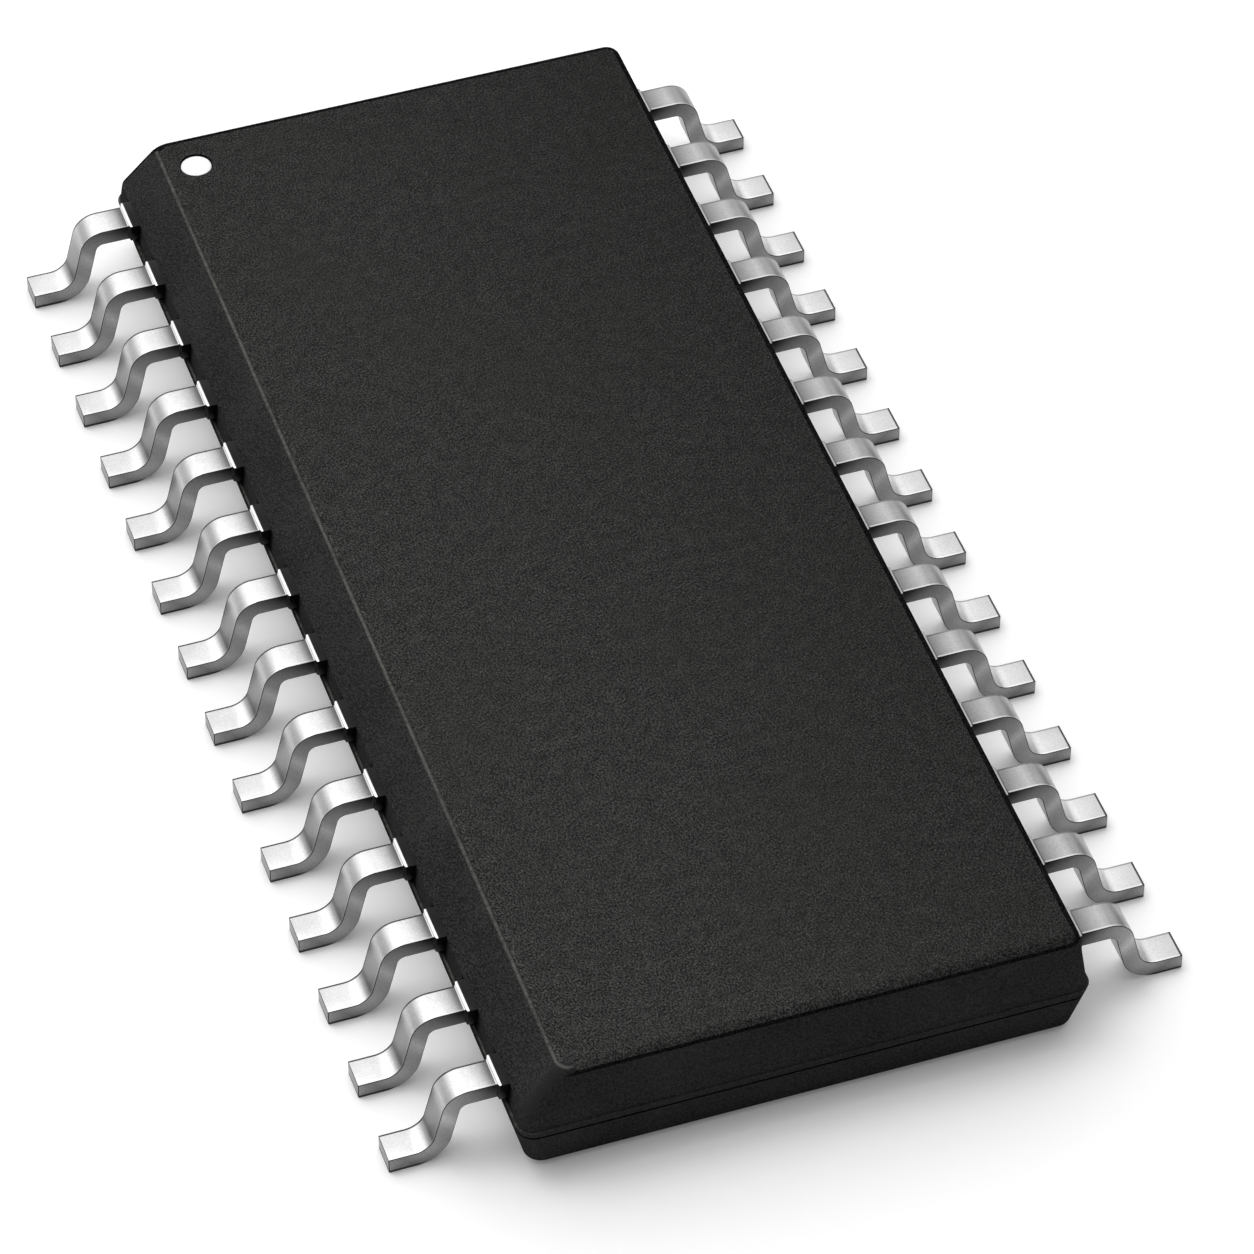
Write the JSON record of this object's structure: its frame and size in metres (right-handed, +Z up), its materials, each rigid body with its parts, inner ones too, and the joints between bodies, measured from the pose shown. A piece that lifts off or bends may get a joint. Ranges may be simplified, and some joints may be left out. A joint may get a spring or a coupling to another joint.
{
  "type": "analog-to-digital converter chip",
  "caption": "Black epoxy chip package with a bevelled edge and a white pin-1 dot, with two rows of tinned gull-wing leads that solder to a board and a wire-bonded converter die inside.",
  "frame": {"origin": "centre of the footprint, on the board under the solder feet", "axes": "+Z up from the board, +Y along the package toward the pin 1 end, +X across it, away from the pin 1 row"},
  "size_m": [0.0104, 0.0182, 0.0017],
  "materials": {
    "moulding": "charcoal mould compound with a fine spark-eroded grain",
    "white_ink": "white marking ink",
    "tin": "bright tin plating on copper",
    "copper": "bare copper alloy",
    "silver_epoxy": "silver-filled adhesive",
    "silicon": "polished silicon",
    "gold": "gold wire"
  },
  "bodies": {
    "root": {"moulded_body": "moulding", "pin_1_dot": "white_ink", "die_pad": "copper", "die_attach": "silver_epoxy", "silicon_die": "silicon", "bond_wires": "gold", "lead_01": "tin", "lead_02": "tin", "lead_03": "tin", "lead_04": "tin", "lead_05": "tin", "lead_06": "tin", "lead_07": "tin", "lead_08": "tin", "lead_09": "tin", "lead_10": "tin", "lead_11": "tin", "lead_12": "tin", "lead_13": "tin", "lead_14": "tin", "lead_15": "tin", "lead_16": "tin", "lead_17": "tin", "lead_18": "tin", "lead_19": "tin", "lead_20": "tin", "lead_21": "tin", "lead_22": "tin", "lead_23": "tin", "lead_24": "tin", "lead_25": "tin", "lead_26": "tin", "lead_27": "tin", "lead_28": "tin"}
  },
  "joints": []
}
